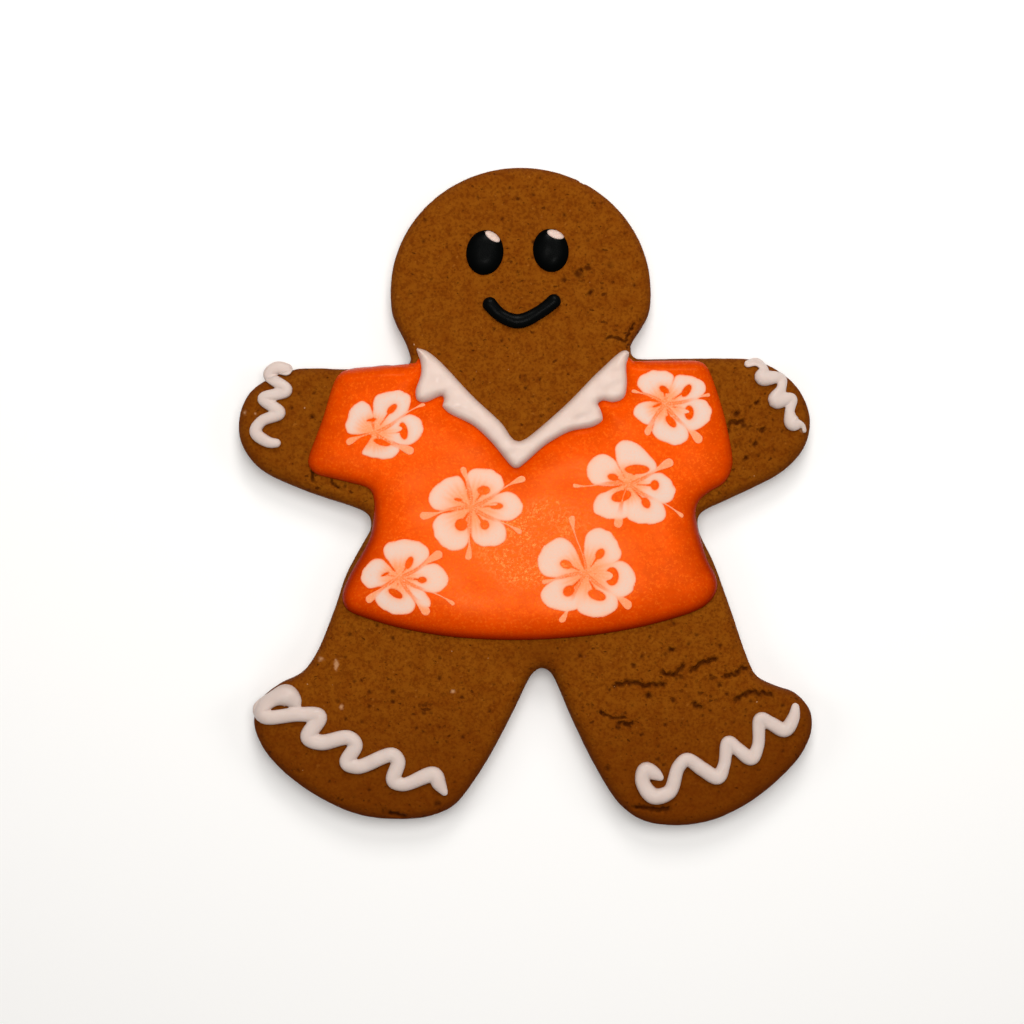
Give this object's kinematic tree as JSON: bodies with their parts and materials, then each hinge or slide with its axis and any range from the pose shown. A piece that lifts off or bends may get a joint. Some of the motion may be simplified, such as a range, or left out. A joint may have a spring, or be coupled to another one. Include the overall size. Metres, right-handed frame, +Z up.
{
  "type": "gingerbread man cookie",
  "caption": "Flat baked gingerbread man cookie with a flooded icing shirt, a piped collar, zigzag trim, flowers and an icing face.",
  "frame": {"origin": "centre of the cookie's bounding box, on the surface it lies on", "axes": "+Y towards the head, +X to the right as the face is seen, +Z up out of the decorated side"},
  "size_m": [0.1108, 0.127, 0.0097],
  "materials": {
    "gingerbread": "baked gingerbread, matt, with pores, pits and small cracks; stands in for food",
    "shirt_icing": "orange flooded royal icing, satin",
    "white_icing": "off-white piped royal icing, satin",
    "petal_icing": "white icing run into the orange icing, satin",
    "black_icing": "black piped royal icing, satin"
  },
  "bodies": {
    "root": {"cookie": "gingerbread", "shirt": "shirt_icing", "collar": "white_icing", "cuff_left": "white_icing", "cuff_right": "white_icing", "foot_zigzag_left": "white_icing", "foot_zigzag_right": "white_icing", "smile": "black_icing", "eye_left": "black_icing", "eye_right": "black_icing", "eye_glint_left": "white_icing", "eye_glint_right": "white_icing", "flower_1": "petal_icing", "flower_2": "petal_icing", "flower_3": "petal_icing", "flower_4": "petal_icing", "flower_5": "petal_icing", "flower_6": "petal_icing"}
  },
  "joints": []
}
